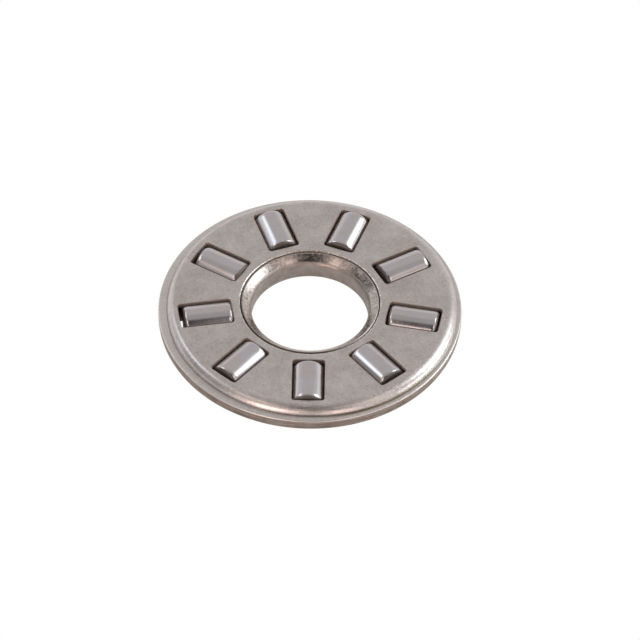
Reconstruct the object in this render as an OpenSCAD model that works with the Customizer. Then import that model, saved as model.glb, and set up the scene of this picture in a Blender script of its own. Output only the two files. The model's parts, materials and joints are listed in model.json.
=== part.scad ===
// Thrust roller bearing, cage and roller assembly, without its two washers.
// Two pressed steel halves close into a flat ring. Each carries the same ring of windows,
// and every window pair holds one cylindrical roller that lies along a radius.
// The bearing axis is Z, and Z = 0 is the middle plane, through all the roller axes.

/* [Cage] */
// Outside diameter, over the wall of the lower half
cage_od = 17.08; // [16.9:0.02:17.4]
// Bore diameter of the lower half's tube
bore_d = 6.6; // [6.5:0.02:6.7]
// Height over the two flat faces
cage_h = 1.45; // [1.4:0.01:1.5]
// Thickness of the steel strip
sheet = 0.38; // [0.34:0.01:0.4]
// Thickness of the lower half's outer wall, which the drawing has thinned
wall = 0.3; // [0.28:0.01:0.34]
// Height of the lower half's outer rim above the middle plane
rim_z = 0.205; // [0.15:0.005:0.24]
// Outer bend radius at the lower half's bottom edge
lower_bend = 0.52; // [0.45:0.01:0.56]
// Outer bend radius at the upper half's shoulder
shoulder_bend = 0.6; // [0.5:0.01:0.62]

/* [Flared lip] */
// Height above the middle plane where the bore starts to open into the flare
throat_z = 0.28; // [0.2:0.01:0.32]
// Diameter of the flare's mouth at the top face
mouth_d = 7.6; // [7.5:0.02:7.7]
// Diameter of the upper half's seat at the top face, around the lip
seat_top_d = 7.96; // [7.92:0.01:8.04]
// Diameter of the same seat at the underside of the strip
seat_foot_d = 7.43; // [7.42:0.01:7.5]
// How far the top of the lip lies below the top face
lip_drop = 0.05; // [0:0.01:0.08]

/* [Windows] */
// Width of a window across the roller
window_w = 1.8; // [1.78:0.01:1.86]
// Length of a window along the roller
window_l = 3; // [2.96:0.01:3.04]
// Corner radius of a window
window_corner = 0.17; // [0.1:0.01:0.25]
// Diameter of the circle through the window centres
window_circle_d = 11.84; // [11.78:0.02:11.9]

/* [Rollers] */
// Roller diameter, which is also the height of the whole assembly
roller_d = 1.984; // [1.96:0.002:2]
// Roller length
roller_l = 2.74; // [2.7:0.01:2.76]
// Radius of a roller's rounded ends
roller_edge = 0.15; // [0.05:0.01:0.18]
// Gap between a roller and the hollows coined for it inside the cage
roller_gap = 0.04; // [0.03:0.005:0.05]

/* [Hidden] */
ROLLER_COUNT = 9;
$fn = 96;

cage_colour = [0.62, 0.59, 0.57];
roller_colour = [0.72, 0.72, 0.75];

// How far each roller has settled along its own window, as a share of its free play.
// Outwards is positive. Every roller floats by itself, so they stand at different radii.
roller_settled = [0.5, -0.5, 0, 0.7, 0.2, 0.2, -0.95, -0.95, -0.3];

pitch = 360 / ROLLER_COUNT;
first_angle = -90; // roller_1 lies on the -Y side, and the others follow anticlockwise

half_h = cage_h / 2;
inner_z = half_h - sheet; // height of the strip's inner faces
outer_r = cage_od / 2;
bore_r = bore_d / 2;
window_r = window_circle_d / 2;
roller_play = (window_l - roller_l) / 2; // free play of a roller either way

nest_gap = 0.03; // between the upper half's flange and the lower half's wall
seat_gap = 0.02; // between the flared lip and its seat
wall_r = outer_r - wall; // inner face of the lower half's wall
flange_r = wall_r - nest_gap; // outer face of the upper half's flange
tube_r = bore_r + sheet; // outer face of the lower half's tube

wall_fillet = 0.14; // inside bend between the lower half's floor and wall
tube_fillet = 0.1; // inside bend between the floor and the tube
bore_edge = 0.06; // round at the bottom edge of the bore
flange_chamfer = 0.16; // on the flange's foot, clear of the wall's inside bend
shoulder_fillet = shoulder_bend - sheet; // inside bend of the upper half's shoulder
lap = 0.05; // how far a cutting or filling shape runs past the faces it meets

// Patch between a sharp corner and a round of radius rad. toward holds the two signs that
// point from the corner to the centre of the round. Taken off, it rounds a corner outside.
// Added, it fills a corner inside.
module corner_patch(corner, rad, toward) {
    translate(corner)
        difference() {
            translate([toward.x > 0 ? -lap : -rad, toward.y > 0 ? -lap : -rad])
                square(rad + lap);
            translate(rad * toward)
                circle(r = rad);
        }
}

// Rectangle from its lowest to its highest corner
module span(low, high) {
    translate(low)
        square(high - low);
}

// Places its children at window number i, with X outwards along the radius
module at_window(i) {
    rotate(first_angle + pitch * (i - 1))
        translate([window_r, 0, 0])
            children();
}

// Outline of one window: a rectangle with round corners
module window_outline() {
    x = window_l / 2 - window_corner;
    y = window_w / 2 - window_corner;
    span([-x, -window_w / 2], [x, window_w / 2]);
    span([-window_l / 2, -y], [window_l / 2, y]);
    for (sx = [-1, 1])
        for (sy = [-1, 1])
            translate([sx * x, sy * y])
                circle(r = window_corner);
}

// What a window takes out of a cage half: a straight opening narrower than the roller, and
// behind it a hollow around the roller, so that the edges outside hold the roller in
module window_cut(low, high) {
    translate([0, 0, low])
        linear_extrude(height = high - low)
            window_outline();
    rotate([0, 90, 0])
        cylinder(r = roller_d / 2 + roller_gap, h = window_l, center = true);
}

// Half section of the lower half: floor, outer wall, and tube with its flared lip
module lower_section() {
    difference() {
        union() {
            span([bore_r, -half_h], [outer_r, -inner_z]);
            span([wall_r, -half_h], [outer_r, rim_z]);
            span([bore_r, -half_h], [tube_r, throat_z]);
            corner_patch([wall_r, -inner_z], wall_fillet, [-1, 1]);
            corner_patch([tube_r, -inner_z], tube_fillet, [1, 1]);
            polygon([
                [bore_r, throat_z],
                [tube_r, throat_z],
                [seat_foot_d / 2 - seat_gap, inner_z],
                [seat_top_d / 2 - seat_gap, half_h - lip_drop],
                [mouth_d / 2, half_h - lip_drop]
            ]);
        }
        corner_patch([outer_r, -half_h], lower_bend, [-1, 1]);
        corner_patch([bore_r, -half_h], bore_edge, [1, 1]);
    }
}

// Half section of the upper half: flat disc on a turned-down flange, with a tapered seat
// for the lip around its hole
module upper_section() {
    difference() {
        span([bore_r, -inner_z], [flange_r, half_h]);
        difference() {
            span([bore_r - lap, -inner_z - lap], [flange_r - sheet, inner_z]);
            corner_patch([flange_r - sheet, inner_z], shoulder_fillet, [-1, -1]);
        }
        corner_patch([flange_r, half_h], shoulder_bend, [-1, -1]);
        polygon([
            [flange_r - flange_chamfer, -inner_z],
            [flange_r, -inner_z + flange_chamfer],
            [flange_r + lap, -inner_z + flange_chamfer],
            [flange_r + lap, -inner_z - lap],
            [flange_r - flange_chamfer, -inner_z - lap]
        ]);
        polygon([
            [bore_r - lap, inner_z - lap],
            [seat_foot_d / 2, inner_z - lap],
            [seat_foot_d / 2, inner_z],
            [seat_top_d / 2, half_h],
            [seat_top_d / 2, half_h + lap],
            [bore_r - lap, half_h + lap]
        ]);
    }
}

// Half section of a roller: straight flank, flat ends and a round between them
module roller_section() {
    difference() {
        span([0, -roller_l / 2], [roller_d / 2, roller_l / 2]);
        for (s = [-1, 1])
            corner_patch([roller_d / 2, s * roller_l / 2], roller_edge, [-1, -s]);
    }
}

module lower_cage_half() {
    color(cage_colour)
        difference() {
            rotate_extrude()
                lower_section();
            for (i = [1:ROLLER_COUNT])
                at_window(i)
                    window_cut(-half_h - lap, -inner_z + lap);
        }
}

module upper_cage_half() {
    color(cage_colour)
        difference() {
            rotate_extrude()
                upper_section();
            for (i = [1:ROLLER_COUNT])
                at_window(i)
                    window_cut(inner_z - lap, half_h + lap);
        }
}

module roller(i) {
    color(roller_colour)
        at_window(i)
            translate([roller_settled[i - 1] * roller_play, 0, 0])
                rotate([0, 90, 0])
                    rotate_extrude()
                        roller_section();
}

lower_cage_half();
upper_cage_half();
for (i = [1:ROLLER_COUNT])
    roller(i);
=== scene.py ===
"""Looks of a thrust roller bearing: a pressed two-piece steel cage with nine cylindrical rollers.

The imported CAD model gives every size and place. This script rebuilds each piece as a finer mesh
with rounded edges, gives it a worn-steel material, and sets up the studio and the camera.
Sections are written in millimetres, and meshes are made in metres.
"""

import json
import math

import bmesh
import bpy
from mathutils import Matrix, Vector


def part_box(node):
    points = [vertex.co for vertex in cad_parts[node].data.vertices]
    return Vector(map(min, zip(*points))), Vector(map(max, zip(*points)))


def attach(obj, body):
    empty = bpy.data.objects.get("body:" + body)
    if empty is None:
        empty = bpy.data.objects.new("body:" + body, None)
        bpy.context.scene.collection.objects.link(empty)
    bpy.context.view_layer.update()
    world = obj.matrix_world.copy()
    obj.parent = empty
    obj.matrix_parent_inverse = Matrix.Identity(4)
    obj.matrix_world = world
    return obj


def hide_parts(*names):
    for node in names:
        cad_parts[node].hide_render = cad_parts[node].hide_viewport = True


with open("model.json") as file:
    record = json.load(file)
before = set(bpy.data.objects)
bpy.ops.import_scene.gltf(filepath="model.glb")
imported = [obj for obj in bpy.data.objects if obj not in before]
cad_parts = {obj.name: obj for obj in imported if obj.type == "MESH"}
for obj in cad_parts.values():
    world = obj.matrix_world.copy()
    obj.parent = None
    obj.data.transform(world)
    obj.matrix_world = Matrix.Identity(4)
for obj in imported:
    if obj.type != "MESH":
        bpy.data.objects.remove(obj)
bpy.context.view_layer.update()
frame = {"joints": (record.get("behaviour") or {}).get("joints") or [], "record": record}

MM = 0.001

# ---------------------------------------------------------------- sizes, from the frame
mounts = {m["name"]: m for m in frame["record"]["mounts"]}
joints = {j["child"]: j for j in frame["joints"]}
lower_low, lower_high = (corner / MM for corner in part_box("lower_cage_half"))
upper_low, upper_high = (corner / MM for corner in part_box("upper_cage_half"))
roller_low, roller_high = (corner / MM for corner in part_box("roller_1"))

outer_r = lower_high.x
half_h = upper_high.z
flange_r = upper_high.x
inner_z = -upper_low.z  # height of the strip's inner faces from the middle plane
sheet = half_h - inner_z
bore_r = mounts["bore"]["dims"]["r_mm"]
tube_r = bore_r + sheet
rim_z = mounts["outer_rim"]["dims"]["length_mm"] / 2
roller_r = roller_high.z
roller_l = roller_high.y - roller_low.y

# ---------------------------------------------------------------- sizes, as designed
THROAT_Z = 0.28  # where the bore starts to open into the flare
MOUTH_R = 3.80  # flare's mouth at the top face
SEAT_TOP_R = 3.98  # upper half's seat around the lip, at the top face
SEAT_FOOT_R = 3.715  # the same seat at the strip's underside
SEAT_GAP = 0.008  # between the lip and its seat
LIP_DROP = 0.05  # the lip's top lies this far below the face
SEAM = 0.004  # gap between the rim and the upper half's flange
OFF_CENTRE = Vector((0.12, 0.05, 0))  # how far the flange lies off the bore's axis
WINDOW_W = 1.80
WINDOW_L = 3.00
WINDOW_R = 5.92  # radius at the middle of a window
WINDOW_CORNER = 0.17
HOLLOW_GAP = 0.04  # between a roller and the hollow coined around it
EDGE_R = 0.04  # round on a window's outer edge

TURN_STEPS = 360  # flats round each cage half
ROLLER_STEPS = 128
END_STEPS = 12  # flats across the round at a roller's end
CORNER_STEPS = 8  # flats round a window's corner


# ---------------------------------------------------------------- outlines
def rounded(corners, steps=6):
    """The closed outline through corners (r, z, radius, zone), each corner rounded by its radius.

    A fifth value is the zone of the straight edge after the round, where that differs.
    Returns points (r, z, zone), where zone is the material of the edge that starts there.
    """
    outline = []
    count = len(corners)
    for i, (r, z, radius, zone, *edge) in enumerate(corners):
        here = Vector((r, z))
        back = (Vector(corners[i - 1][:2]) - here).normalized()
        ahead = (Vector(corners[(i + 1) % count][:2]) - here).normalized()
        if radius == 0:
            outline.append((r, z, zone))
            continue
        half = back.angle(ahead) / 2
        reach = radius / math.tan(half)
        centre = here + (back + ahead).normalized() * (radius / math.sin(half))
        first = here + back * reach - centre
        turn = first.angle_signed(here + ahead * reach - centre)
        for k in range(steps + 1):
            a = -turn * k / steps
            point = centre + Vector((
                first.x * math.cos(a) - first.y * math.sin(a),
                first.x * math.sin(a) + first.y * math.cos(a),
            ))
            outline.append((point.x, point.y, edge[0] if edge and k == steps else zone))
    return outline


def lower_outline():
    """Half section of the lower half: floor, outer wall, and tube with its flared lip."""
    return rounded([
        (bore_r, -half_h, 0.06, "strip"),
        (outer_r, -half_h, 0.52, "wall"),
        (outer_r, rim_z, 0.08, "rim"),
        (flange_r + SEAM, rim_z, 0.02, "rim", "inside"),
        (flange_r + SEAM, -inner_z, 0.14, "inside"),
        (tube_r, -inner_z, 0.10, "inside"),
        (tube_r, THROAT_Z, 0.10, "inside"),
        (SEAT_FOOT_R - SEAT_GAP, inner_z, 0.10, "cut"),
        (SEAT_TOP_R - SEAT_GAP, half_h - LIP_DROP, 0.07, "groove", "lip"),
        (MOUTH_R, half_h - LIP_DROP, 0.05, "burnished"),
        (bore_r, THROAT_Z, 0.35, "tube"),
    ])


def upper_outline():
    """Half section of the upper half: flat disc on a turned-down flange."""
    flange_in = flange_r - sheet
    chamfer = 0.16
    return rounded([
        (SEAT_FOOT_R, inner_z, 0.03, "inside"),
        (flange_in, inner_z, 0.10, "inside"),
        (flange_in, -inner_z, 0.03, "cut"),
        (flange_r - chamfer, -inner_z, 0.03, "cut"),
        (flange_r, chamfer - inner_z, 0.03, "strip"),
        (flange_r, half_h, 0.60, "strip"),
        (SEAT_TOP_R, half_h, 0.09, "lip", "cut"),
    ], steps=10)


def roller_outline():
    """Half section of a roller about its own axis, from the middle of one end to the other."""
    end = roller_l / 2
    relief, reach = 0.15, 0.27  # the round goes this deep, and runs this far along the flank
    painted_shade_flats = 7  # this many of the round's flats take the dark end steel, as painted shade
    points = [(0.0, -end, "end")]
    for k in range(END_STEPS + 1):
        a = math.pi / 2 * k / END_STEPS
        r = roller_r - relief * (1 - math.sin(a))
        z = -end + reach * (1 - math.cos(a))
        points.append((r, z, "end" if k < painted_shade_flats else "ground"))
    mirrored = [(r, -z, zone) for r, z, zone in reversed(points)]
    return points + mirrored


# ---------------------------------------------------------------- meshes
def new_object(name, bm, materials):
    """Turns a bmesh in millimetres into an object in metres."""
    bm.normal_update()
    mesh = bpy.data.meshes.new(name)
    bm.to_mesh(mesh)
    bm.free()
    mesh.transform(Matrix.Scale(MM, 4))
    for material in materials:
        mesh.materials.append(material)
    obj = bpy.data.objects.new(name, mesh)
    bpy.context.scene.collection.objects.link(obj)
    return obj


def revolved(name, outline, steps, palette, closed=True):
    """Turns an outline of (r, z, zone) about Z. palette maps each zone to its material."""
    bm = bmesh.new()
    zones = list(palette)
    rings = []
    for r, z, _ in outline:
        if r == 0:
            rings.append([bm.verts.new((0, 0, z))] * steps)
            continue
        rings.append([
            bm.verts.new((r * math.cos(a), r * math.sin(a), z))
            for a in (math.tau * k / steps for k in range(steps))
        ])
    last = len(rings) if closed else len(rings) - 1
    for i in range(last):
        ring, above = rings[i], rings[(i + 1) % len(rings)]
        for k in range(steps):
            m = (k + 1) % steps
            corners = [ring[k], ring[m], above[m], above[k]]
            unique = list(dict.fromkeys(corners))
            face = bm.faces.new(unique)
            face.material_index = zones.index(outline[i][2])
            face.smooth = True
    bmesh.ops.recalc_face_normals(bm, faces=bm.faces)
    return new_object(name, bm, palette.values())


def window_ring(bm, matrix, half_w, grow, z):
    """One ring of a window cutter: a rounded rectangle of that half width, grown all round."""
    corner = WINDOW_CORNER + grow
    x, y = WINDOW_L / 2 - WINDOW_CORNER, half_w - WINDOW_CORNER
    ring = []
    for sx, sy, start in ((1, 1, 0), (-1, 1, 90), (-1, -1, 180), (1, -1, 270)):
        for k in range(CORNER_STEPS + 1):
            a = math.radians(start + 90 * k / CORNER_STEPS)
            point = Vector((sx * x + corner * math.cos(a), sy * y + corner * math.sin(a), z))
            ring.append(bm.verts.new(matrix @ point))
    return ring


def window_levels():
    """(half width, growth, height) of a window from inside the cage to above its face.

    The hollow around the roller narrows to the straight window, whose outer edge is rounded.
    """
    half_w = WINDOW_W / 2
    hollow_r = roller_r + HOLLOW_GAP
    straight_z = math.sqrt(hollow_r ** 2 - half_w ** 2)
    lap = 0.1  # how far the cutter runs past the strip's two faces
    hollow_steps, edge_steps = 8, 6
    levels = []
    for k in range(hollow_steps + 1):
        z = inner_z - lap + (straight_z - inner_z + lap) * k / hollow_steps
        levels.append((math.sqrt(hollow_r ** 2 - z ** 2), 0.0, z))
    for k in range(edge_steps + 1):
        a = math.pi / 2 * k / edge_steps
        levels.append((half_w, EDGE_R * (1 - math.cos(a)), half_h - EDGE_R * (1 - math.sin(a))))
    levels.append((half_w, EDGE_R, half_h + lap))
    return levels


def window_cutters(side, material):
    """All nine windows of one cage half as one cutter. side is 1 for the upper half."""
    bm = bmesh.new()
    for joint in joints.values():
        turn = Matrix.Rotation(math.atan2(joint["axis"][1], joint["axis"][0]), 4, "Z")
        matrix = turn @ Matrix.Translation((WINDOW_R, 0, 0))
        rings = [window_ring(bm, matrix, w, grow, side * z) for w, grow, z in window_levels()]
        for ring, above in zip(rings, rings[1:]):
            for k in range(len(ring)):
                m = (k + 1) % len(ring)
                bm.faces.new([ring[k], ring[m], above[m], above[k]]).smooth = True
        bm.faces.new(rings[0])
        bm.faces.new(rings[-1])
    bmesh.ops.recalc_face_normals(bm, faces=bm.faces)
    return new_object("cutter", bm, [material])


def cut(obj, cutter):
    """Takes cutter out of obj, and removes the cutter."""
    modifier = obj.modifiers.new("cut", "BOOLEAN")
    modifier.operation = "DIFFERENCE"
    modifier.solver = "EXACT"
    modifier.object = cutter
    modifier.material_mode = "TRANSFER"
    bake_modifiers(obj)
    bpy.data.objects.remove(cutter)


def bake_modifiers(obj):
    """Replaces obj's mesh by the result of its modifiers."""
    bpy.context.view_layer.update()
    evaluated = obj.evaluated_get(bpy.context.evaluated_depsgraph_get())
    mesh = bpy.data.meshes.new_from_object(evaluated)
    obj.modifiers.clear()
    obj.data = mesh


def remember(obj, turn=0.0, shift=0.0):
    """Keeps each vertex's place in the piece's own frame, in millimetres, for its patterns.

    turn and shift move the patterns round the axis and along it, so that no two pieces match.
    """
    own = obj.data.attributes.new("own", "FLOAT_VECTOR", "POINT")
    spun = Matrix.Rotation(turn, 3, "Z")
    for vertex, place in zip(obj.data.vertices, own.data):
        place.vector = spun @ vertex.co / MM + Vector((0, 0, shift))


def shade(obj, angle=35):
    """Smooth shading with sharp edges over angle degrees, weighted so that flats stay flat."""
    for polygon in obj.data.polygons:
        polygon.use_smooth = True
    obj.data.set_sharp_from_angle(angle=math.radians(angle))
    modifier = obj.modifiers.new("normals", "WEIGHTED_NORMAL")
    modifier.mode = "FACE_AREA"
    modifier.keep_sharp = True


# ---------------------------------------------------------------- nodes
class Nodes:
    """Shorthand for building a node tree."""

    def __init__(self, tree):
        self.tree = tree

    def node(self, kind, **settings):
        made = self.tree.nodes.new("ShaderNode" + kind)
        for name, value in settings.items():
            setattr(made, name, value)
        return made

    def feed(self, socket, value):
        """Sets a socket to a value, or links it to the output that gives the value."""
        if isinstance(value, bpy.types.NodeSocket):
            self.tree.links.new(value, socket)
        else:
            socket.default_value = value

    def vector(self, operation, a, b=None, scale=None):
        made = self.node("VectorMath", operation=operation)
        self.feed(made.inputs[0], a)
        if b is not None:
            self.feed(made.inputs[1], b)
        if scale is not None:
            self.feed(made.inputs["Scale"], scale)
        scalar = operation in ("LENGTH", "DOT_PRODUCT")
        return made.outputs["Value" if scalar else "Vector"]

    def math(self, operation, a, b=0.0):
        made = self.node("Math", operation=operation)
        self.feed(made.inputs[0], a)
        self.feed(made.inputs[1], b)
        return made.outputs[0]

    def remap(self, value, low, high, to_low, to_high, kind="LINEAR"):
        made = self.node("MapRange", interpolation_type=kind)
        made.inputs["From Min"].default_value = low
        made.inputs["From Max"].default_value = high
        made.inputs["To Min"].default_value = to_low
        made.inputs["To Max"].default_value = to_high
        self.feed(made.inputs["Value"], value)
        return made.outputs["Result"]

    def blend(self, factor, a, b):
        """Colour a where factor is 0, and b where it is 1."""
        made = self.node("Mix", data_type="RGBA")
        self.feed(made.inputs["Factor"], factor)
        for socket, colour in zip([i for i in made.inputs if i.type == "RGBA"], (a, b)):
            self.feed(socket, colour if isinstance(colour, bpy.types.NodeSocket) else (*colour, 1))
        return [o for o in made.outputs if o.type == "RGBA"][0]


class Surface(Nodes):
    """A steel under construction. Patterns are in millimetres, in the piece's own frame.

    way is the unit vector from the axis to the surface, radius its length, height the Z.
    """

    def __init__(self, name):
        self.material = bpy.data.materials.new(name)
        self.material.use_nodes = True
        super().__init__(self.material.node_tree)
        self.shader = self.tree.nodes["Principled BSDF"]
        self.shader.inputs["Metallic"].default_value = 1
        self.place = self.node("Attribute", attribute_name="own").outputs["Vector"]
        flat = self.vector("MULTIPLY", self.place, (1, 1, 0))
        self.way = self.vector("NORMALIZE", flat)
        self.radius = self.vector("LENGTH", flat)
        self.height = self.vector("DOT_PRODUCT", self.place, (0, 0, 1))

    def noise(self, vector, scale=1.0, detail=2.0, rough=0.5):
        """Noise with blobs about 1 / scale wide."""
        made = self.node("TexNoise")
        self.feed(made.inputs["Vector"], vector)
        made.inputs["Scale"].default_value = scale
        made.inputs["Detail"].default_value = detail
        made.inputs["Roughness"].default_value = rough
        return made.outputs["Fac"]

    def streaks(self, around, radial=0.0, axial=0.0, detail=2.0):
        """Noise drawn out into lines. around is its blobs in one radian, the others in 1 mm."""
        turn = self.vector("SCALE", self.way, scale=around)
        rise = self.math("ADD", self.math("MULTIPLY", self.radius, radial),
                         self.math("MULTIPLY", self.height, axial))
        lift = self.node("CombineXYZ")
        self.feed(lift.inputs["Z"], rise)
        return self.noise(self.vector("ADD", turn, lift.outputs[0]), 1.0, detail)

    def bump(self, height, depth):
        """Relief of that depth in millimetres, over the relief that is already there."""
        made = self.node("Bump")
        made.inputs["Strength"].default_value = 1
        made.inputs["Distance"].default_value = depth * MM
        self.feed(made.inputs["Height"], height)
        if self.shader.inputs["Normal"].is_linked:
            self.feed(made.inputs["Normal"], self.shader.inputs["Normal"].links[0].from_socket)
        self.feed(self.shader.inputs["Normal"], made.outputs["Normal"])

    def colour(self, value):
        self.feed(self.shader.inputs["Base Color"], value)

    def roughness(self, value):
        self.feed(self.shader.inputs["Roughness"], value)


# ---------------------------------------------------------------- steels
def strip_steel():
    """Rolled strip: satin, faintly clouded, with draw lines down the bends."""
    s = Surface("strip_steel")
    clouds = s.noise(s.place, 0.9, 4, 0.6)
    grain = s.noise(s.place, 9, 3, 0.7)
    shade = s.math("ADD", s.math("MULTIPLY", clouds, 0.45), s.math("MULTIPLY", grain, 0.55))
    s.colour(s.blend(s.remap(shade, 0.35, 0.65, 0, 1), (0.425, 0.414, 0.408), (0.645, 0.632, 0.624)))
    s.roughness(s.remap(grain, 0.3, 0.7, 0.27, 0.39))
    bend = s.remap(s.radius, flange_r - 0.65, flange_r - 0.35, 0, 1, "SMOOTHSTEP")
    s.bump(s.noise(s.place, 9, 2), 0.002)
    draws = s.streaks(90, 0.8, 0.8, 3)
    s.bump(s.math("MULTIPLY", draws, bend), 0.009)
    return s.material


def wall_steel():
    """Outside of the lower half's wall: rubbed by the die into bands, and darkened to a brown that
    is painted shade for the shaded table that it mirrors.
    """
    s = Surface("wall_steel")
    bands = s.streaks(3, 0, 9, 3)
    stain = s.noise(s.place, 1.6, 4, 0.65)
    shade = s.math("ADD", s.math("MULTIPLY", bands, 0.6), s.math("MULTIPLY", stain, 0.4))
    # painted shade: the wall's colour is kept dark and brown all over
    s.colour(s.blend(s.remap(shade, 0.38, 0.62, 0, 1), (0.19, 0.15, 0.125), (0.38, 0.34, 0.31)))
    s.roughness(s.remap(bands, 0.3, 0.7, 0.28, 0.45))
    s.bump(bands, 0.006)
    s.bump(s.streaks(70, 1, 1, 2), 0.002)
    return s.material


def rim_steel():
    """Top of the rim, trimmed in the press: fine marks across it, and a darker band along the seam
    at the front right.
    """
    s = Surface("rim_steel")
    hatch = s.streaks(85, 0.7, 0.7, 3)
    steel = s.blend(s.remap(hatch, 0.35, 0.65, 0, 1), (0.56, 0.55, 0.54), (0.65, 0.64, 0.63))
    # darker towards the seam, only at the front right
    side = s.remap(s.vector("DOT_PRODUCT", s.way, (0.57, -0.82, 0)), 0.86, 0.95, 0, 1)
    darkening = s.math("MULTIPLY", side, s.remap(s.radius, flange_r + 0.08, flange_r + 0.16, 1, 0))
    s.colour(s.blend(darkening, steel, (0.34, 0.30, 0.20)))
    s.roughness(s.remap(hatch, 0.3, 0.7, 0.34, 0.44))
    s.bump(hatch, 0.0015)
    return s.material


def burnished_steel():
    """Flare of the lip, rolled smooth over its seat, with small pits."""
    s = Surface("burnished_steel")
    peel = s.noise(s.place, 6, 3, 0.6)
    lines = s.streaks(5, 14, 14, 2)
    steel = s.blend(s.remap(peel, 0.3, 0.7, 0, 1), (0.25, 0.23, 0.215), (0.57, 0.53, 0.50))
    # painted reflection: a dark patch on the flare at the back right, where it mirrors a dark part
    # of the room
    side = s.remap(s.vector("DOT_PRODUCT", s.way, (0.82, 0.57, 0)), 0.945, 0.975, 0, 1)
    darkening = s.math("MULTIPLY", side, s.remap(peel, 0.3, 0.6, 0.95, 0.55))
    s.colour(s.blend(darkening, steel, (0.09, 0.08, 0.07)))
    s.roughness(s.remap(peel, 0.3, 0.7, 0.17, 0.28))
    s.bump(lines, 0.0015)
    s.bump(peel, 0.003)
    pits = s.remap(s.noise(s.place, 4.5, 1), 0.24, 0.32, 0, 1)
    s.bump(pits, 0.006)
    return s.material


def lip_steel():
    """Edge of the lip: a bright bead, left uneven by the rolling."""
    s = Surface("lip_steel")
    beads = s.streaks(48, 2, 2, 3)
    s.colour(s.blend(s.remap(beads, 0.35, 0.6, 0, 1), (0.40, 0.36, 0.32), (0.78, 0.75, 0.71)))
    s.roughness(0.24)
    s.bump(beads, 0.018)
    return s.material


def groove_steel():
    """Outer edge of the lip: made black at the front left as painted shade, and plain steel
    elsewhere.
    """
    s = Surface("groove_steel")
    side = s.remap(s.vector("DOT_PRODUCT", s.way, (-0.50, -0.87, 0)), 0.2, 0.75, 0, 1)
    # painted shade: black towards the front left
    s.colour(s.blend(side, (0.52, 0.49, 0.47), (0.12, 0.10, 0.085)))
    s.roughness(0.38)
    s.bump(s.streaks(40, 2, 2, 3), 0.006)
    return s.material


def tube_steel():
    """Bore: drawn by the punch, dull, with faint marks along the axis."""
    s = Surface("tube_steel")
    marks = s.streaks(34, 0, 0.6, 3)
    stain = s.noise(s.place, 1.5, 3, 0.6)
    s.colour(s.blend(s.remap(stain, 0.35, 0.65, 0, 1), (0.34, 0.31, 0.29), (0.45, 0.42, 0.40)))
    s.roughness(s.remap(marks, 0.3, 0.7, 0.36, 0.48))
    s.bump(marks, 0.003)
    return s.material


def sheared_steel():
    """Cut edges of the strip."""
    s = Surface("sheared_steel")
    tear = s.noise(s.place, 9, 4, 0.7)
    s.colour(s.blend(tear, (0.10, 0.085, 0.07), (0.26, 0.23, 0.20)))
    s.roughness(0.45)
    s.bump(tear, 0.006)
    return s.material


def punched_steel():
    """Walls of the windows and the inside of the cage: dark with old oil."""
    s = Surface("punched_steel")
    s.shader.inputs["Metallic"].default_value = 0.2
    tear = s.noise(s.place, 6, 4, 0.7)
    s.colour(s.blend(tear, (0.28, 0.225, 0.19), (0.44, 0.37, 0.32)))
    s.roughness(s.remap(tear, 0.3, 0.7, 0.45, 0.65))
    s.bump(tear, 0.008)
    return s.material


def ground_steel():
    """Flank of a roller: ground round it, then lapped bright, with a bluish cast."""
    s = Surface("ground_steel")
    lines = s.streaks(2.5, 0, 11, 3)
    haze = s.noise(s.place, 1.4, 3, 0.6)
    s.colour(s.blend(s.remap(haze, 0.35, 0.65, 0, 1), (0.53, 0.52, 0.515), (0.54, 0.545, 0.585)))
    s.roughness(s.remap(haze, 0.3, 0.7, 0.15, 0.22))
    s.bump(lines, 0.0008)
    s.bump(s.noise(s.place, 3, 2), 0.0015)
    return s.material


def roller_end_steel():
    """Flat end of a roller, faced in a lathe, and coloured dark as painted shade; the same steel
    covers the first flats of the end's round.
    """
    s = Surface("roller_end_steel")
    s.shader.inputs["Metallic"].default_value = 0.4
    rings = s.streaks(2, 14, 0, 2)
    # painted shade: the ends are given a dark colour
    s.colour(s.blend(rings, (0.08, 0.072, 0.068), (0.17, 0.155, 0.145)))
    s.roughness(0.4)
    s.bump(rings, 0.002)
    return s.material


punched = punched_steel()
cage_palette = {
    "strip": strip_steel(),
    "inside": punched,
    "wall": wall_steel(),
    "rim": rim_steel(),
    "burnished": burnished_steel(),
    "lip": lip_steel(),
    "groove": groove_steel(),
    "tube": tube_steel(),
    "cut": sheared_steel(),
}
roller_palette = {"ground": ground_steel(), "end": roller_end_steel()}


# ---------------------------------------------------------------- pieces
def smooth(value, low, high):
    """0 below low, 1 above high, and a smooth step between them."""
    t = min(max((value - low) / (high - low), 0), 1)
    return t * t * (3 - 2 * t)


def lift_rim(obj):
    """Raises the rim's inner edge onto the shoulder at the back left, where the press drove it."""
    back_left = Vector((-0.64, 0.77))
    lift, draw_in = 0.10, 0.028  # millimetres up, and in to where the shoulder is at that height
    for vertex in obj.data.vertices:
        radius = vertex.co.xy.length / MM
        height = vertex.co.z / MM
        if abs(radius - flange_r) < 0.03 and abs(height - rim_z) < 0.03:
            way = vertex.co.xy.normalized()
            share = smooth(way.dot(back_left), 0.2, 0.6)
            vertex.co.xy -= way * (draw_in * MM * share)
            vertex.co.z += lift * MM * share


def slip(obj):
    """Moves the flange and the rim's inner edge off centre, as the press has left them."""
    still_r, moved_r = 7.45, 8.05  # the strip stretches between these radii
    for vertex in obj.data.vertices:
        radius = vertex.co.xy.length / MM
        inside_wall = radius < flange_r + 2 * SEAM
        if inside_wall and vertex.co.z / MM > 0.1 - inner_z:
            vertex.co += OFF_CENTRE * (MM * smooth(radius, still_r, moved_r))


def make_cage_half(name, outline, side):
    obj = revolved(name, outline, TURN_STEPS, cage_palette)
    if side < 0:
        lift_rim(obj)
    slip(obj)
    cut(obj, window_cutters(side, punched))
    remember(obj)
    shade(obj)
    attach(obj, "cage")
    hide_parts(name.replace("_finish", ""))
    return obj


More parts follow.
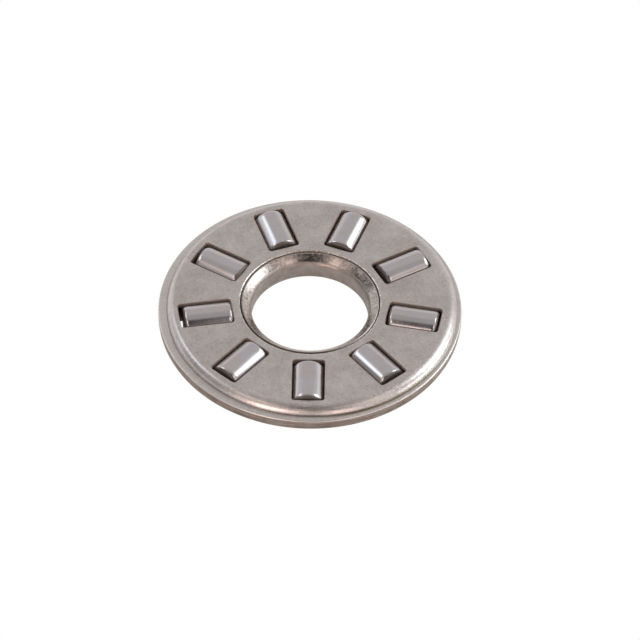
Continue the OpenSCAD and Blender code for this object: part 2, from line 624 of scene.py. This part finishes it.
def make_roller(body):
    obj = revolved(body + "_finish", roller_outline(), ROLLER_STEPS, roller_palette, closed=False)
    joint = joints[body]
    number = list(joints).index(body)
    remember(obj, 2.4 * number, 7.3 * number)
    turn = Vector(joint["axis"]).to_track_quat("Z", "Y").to_matrix().to_4x4()
    obj.data.transform(Matrix.Translation(joint["pos_m"]) @ turn)
    shade(obj)
    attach(obj, body)
    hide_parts(body)
    return obj


make_cage_half("lower_cage_half_finish", lower_outline(), -1)
make_cage_half("upper_cage_half_finish", upper_outline(), 1)
for body in joints:
    make_roller(body)


# ---------------------------------------------------------------- studio
def direction(azimuth, elevation):
    """Unit vector: azimuth anticlockwise from +X, elevation above the floor, in degrees."""
    a, e = math.radians(azimuth), math.radians(elevation)
    return Vector((math.cos(a) * math.cos(e), math.sin(a) * math.cos(e), math.sin(e)))


class Studio(Nodes):
    """The room around the bearing: a soft grey, on which soft boxes and dark gaps are painted."""

    def __init__(self, colour):
        world = bpy.data.worlds.new("studio")
        bpy.context.scene.world = world
        world.use_nodes = True
        super().__init__(world.node_tree)
        self.look = self.node("TexCoord").outputs["Generated"]
        self.colour = colour

    def patch(self, azimuth, elevation, width, height, colour, soft=6):
        """Paints a soft-edged rectangle. All sizes are the degrees that it fills in the sky."""
        ahead = direction(azimuth, elevation)
        side = direction(azimuth + 90, 0)
        up = ahead.cross(side)
        inside = self.remap(self.vector("DOT_PRODUCT", self.look, ahead), 0.0, 0.1, 0, 1)
        for axis, size in ((side, width), (up, height)):
            off = self.math("ABSOLUTE", self.vector("DOT_PRODUCT", self.look, axis))
            edges = (math.sin(math.radians(size / 2 + way * soft / 2)) for way in (-1, 1))
            inside = self.math("MULTIPLY", inside, self.remap(off, *edges, 1, 0, "SMOOTHSTEP"))
        self.colour = self.blend(inside, self.colour, colour)

    def finish(self):
        self.feed(self.tree.nodes["Background"].inputs["Color"], self.colour)


def make_floor():
    """A glowing table at the height that the rollers rest on, white to the camera."""
    bpy.ops.mesh.primitive_plane_add(size=2, location=(0, 0, -roller_r * MM))
    floor = bpy.context.object
    floor.name = "floor"
    material = bpy.data.materials.new("floor")
    material.use_nodes = True
    nodes = Nodes(material.node_tree)
    nodes.tree.nodes.clear()
    seen = nodes.node("Emission")
    mirrored = nodes.node("BsdfPrincipled")
    mirrored.inputs["Base Color"].default_value = (0.8, 0.78, 0.76, 1)
    mirrored.inputs["Emission Color"].default_value = (1, 0.95, 0.92, 1)
    mirrored.inputs["Emission Strength"].default_value = 0.22
    mirrored.inputs["Roughness"].default_value = 0.25
    mix = nodes.node("MixShader")
    nodes.feed(mix.inputs["Fac"], nodes.node("LightPath").outputs["Is Camera Ray"])
    nodes.feed(mix.inputs[1], mirrored.outputs[0])
    nodes.feed(mix.inputs[2], seen.outputs[0])
    nodes.feed(nodes.node("OutputMaterial").inputs["Surface"], mix.outputs[0])
    floor.data.materials.append(material)


def make_studio():
    """Azimuth 0 is the right of the photograph, 90 the back, 270 the camera.

    The patches are azimuth, elevation, width, height, colour and softness. Later ones lie on top.
    """
    studio = Studio((0.52, 0.48, 0.46))
    # walls: grey at the back, dark at the left and behind the camera
    studio.patch(92, 34, 110, 82, (0.67, 0.62, 0.60), 14)
    studio.patch(92, 8, 110, 30, (0.86, 0.81, 0.79), 16)
    studio.patch(182, 22, 44, 30, (0.32, 0.29, 0.28), 8)
    studio.patch(270, 51, 32, 38, (0.08, 0.07, 0.07), 13)
    # soft boxes all round, most of them high
    studio.patch(36, 13, 40, 16, (1.05, 1.0, 0.96), 8)
    studio.patch(136, 8, 24, 12, (1.1, 1.06, 1.04), 8)
    studio.patch(206, 48, 16, 12, (0.85, 0.70, 0.65), 6)
    studio.patch(328, 48, 16, 12, (0.95, 0.80, 0.75), 6)
    studio.patch(225, 46, 13, 14, (2.4, 1.9, 1.7), 5)
    studio.patch(310, 46, 13, 14, (2.2, 1.8, 1.65), 5)
    studio.patch(250, 36, 12, 7, (2.3, 1.8, 1.6), 4)
    studio.patch(322, 24, 36, 20, (1.1, 0.92, 0.86), 10)
    # low lights either side of the camera, with a dark gap between them
    studio.patch(243, 9, 24, 20, (5.5, 4.1, 3.6), 5)
    studio.patch(291, 8, 14, 18, (4.0, 3.0, 2.7), 5)
    studio.patch(271, 10, 20, 34, (0.10, 0.09, 0.09), 4)
    # lights at the right and the left
    studio.patch(0, 2, 50, 14, (5.0, 4.9, 4.8), 8)
    studio.patch(165, 3, 22, 8, (1.6, 1.5, 1.5), 5)
    studio.patch(156, 24, 18, 16, (1.0, 0.97, 0.96), 8)
    studio.patch(148, 38, 20, 14, (1.8, 1.85, 2.0), 6)
    studio.patch(171, 44, 15, 14, (2.4, 2.45, 2.6), 6)
    studio.patch(16, 36, 34, 24, (4.0, 4.0, 4.1), 12)
    studio.finish()


def make_camera():
    """The camera stands at the photograph's angle, a quarter of a metre away."""
    elevation, turn, roll = 46.90, 0.40, -0.884
    away = 0.2428
    lens, sensor = 242.9, 36
    aim_right, aim_down = 0.00057, 0.00103  # from the bearing's middle to the frame's middle
    target = Vector((0, 0, half_h * MM))
    ahead = -direction(270 + turn, elevation)
    right = ahead.cross(Vector((0, 0, 1))).normalized()
    up = right.cross(ahead)
    place = target - ahead * away
    aim = target + right * aim_right - up * aim_down
    ahead = (aim - place).normalized()
    right = ahead.cross(Vector((0, 0, 1))).normalized()
    up = right.cross(ahead)
    tilt = Matrix.Rotation(math.radians(roll), 3, ahead)
    right, up = tilt @ right, tilt @ up
    data = bpy.data.cameras.new("camera")
    data.lens = lens
    data.sensor_width = sensor
    data.clip_start = 0.01
    camera = bpy.data.objects.new("camera", data)
    bpy.context.scene.collection.objects.link(camera)
    camera.matrix_world = Matrix((
        (right.x, up.x, -ahead.x, place.x),
        (right.y, up.y, -ahead.y, place.y),
        (right.z, up.z, -ahead.z, place.z),
        (0, 0, 0, 1),
    ))
    bpy.context.scene.camera = camera


make_floor()
make_studio()
make_camera()
bpy.context.scene.view_settings.view_transform = "Standard"
